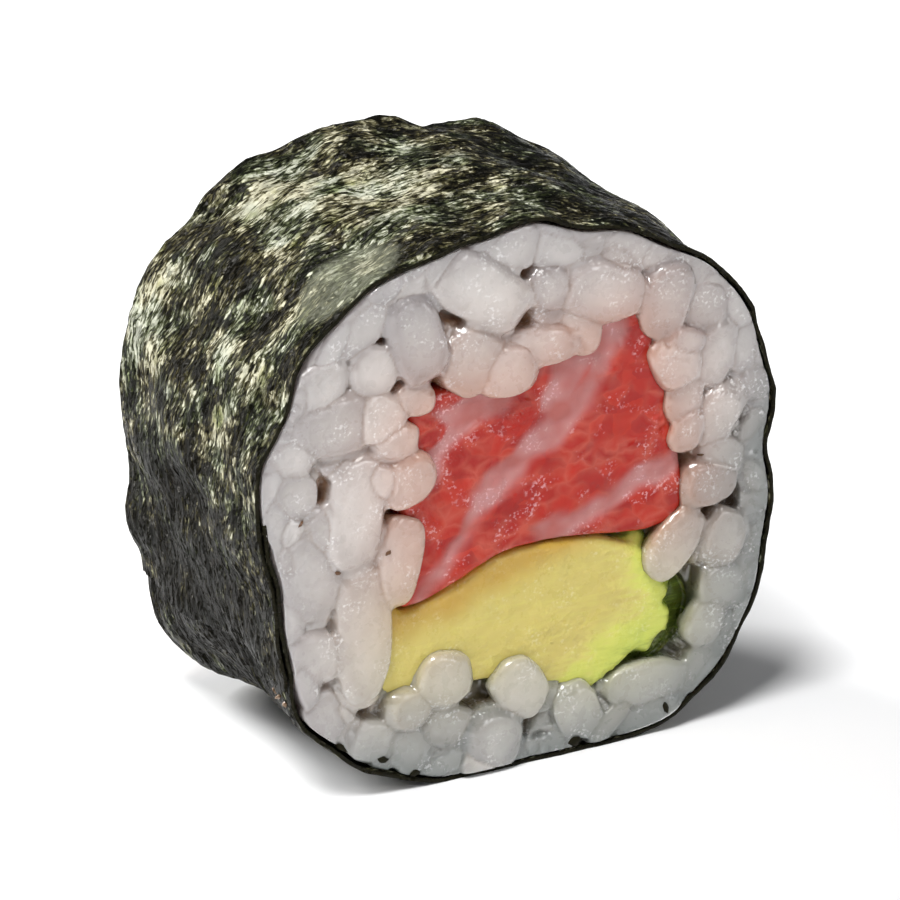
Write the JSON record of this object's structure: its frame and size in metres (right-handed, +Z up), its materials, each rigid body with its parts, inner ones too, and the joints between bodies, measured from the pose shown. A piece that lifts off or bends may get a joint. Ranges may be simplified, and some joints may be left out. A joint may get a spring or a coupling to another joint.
{
  "type": "hosomaki piece",
  "caption": "Cut piece of a thin sushi roll: a sheet of nori round sushi rice, with a strip of raw fish over a strip of avocado in the middle.",
  "frame": {"origin": "on the flat spot that the piece rests on, under the middle of the roll", "axes": "+Z up, +Y along the roll's axis away from the shown cut face, +X to the right of that face"},
  "size_m": [0.031, 0.0184, 0.0308],
  "materials": {
    "nori": "dried seaweed, streaky with a low sheen",
    "rice": "cooked rice, translucent, moist",
    "fish": "raw fish, moist, with pale bands",
    "avocado": "ripe avocado, soft and moist"
  },
  "bodies": {
    "root": {"nori_wrap": "nori", "rice_bed": "rice", "fish_strip": "fish", "avocado_strip": "avocado"}
  },
  "joints": []
}
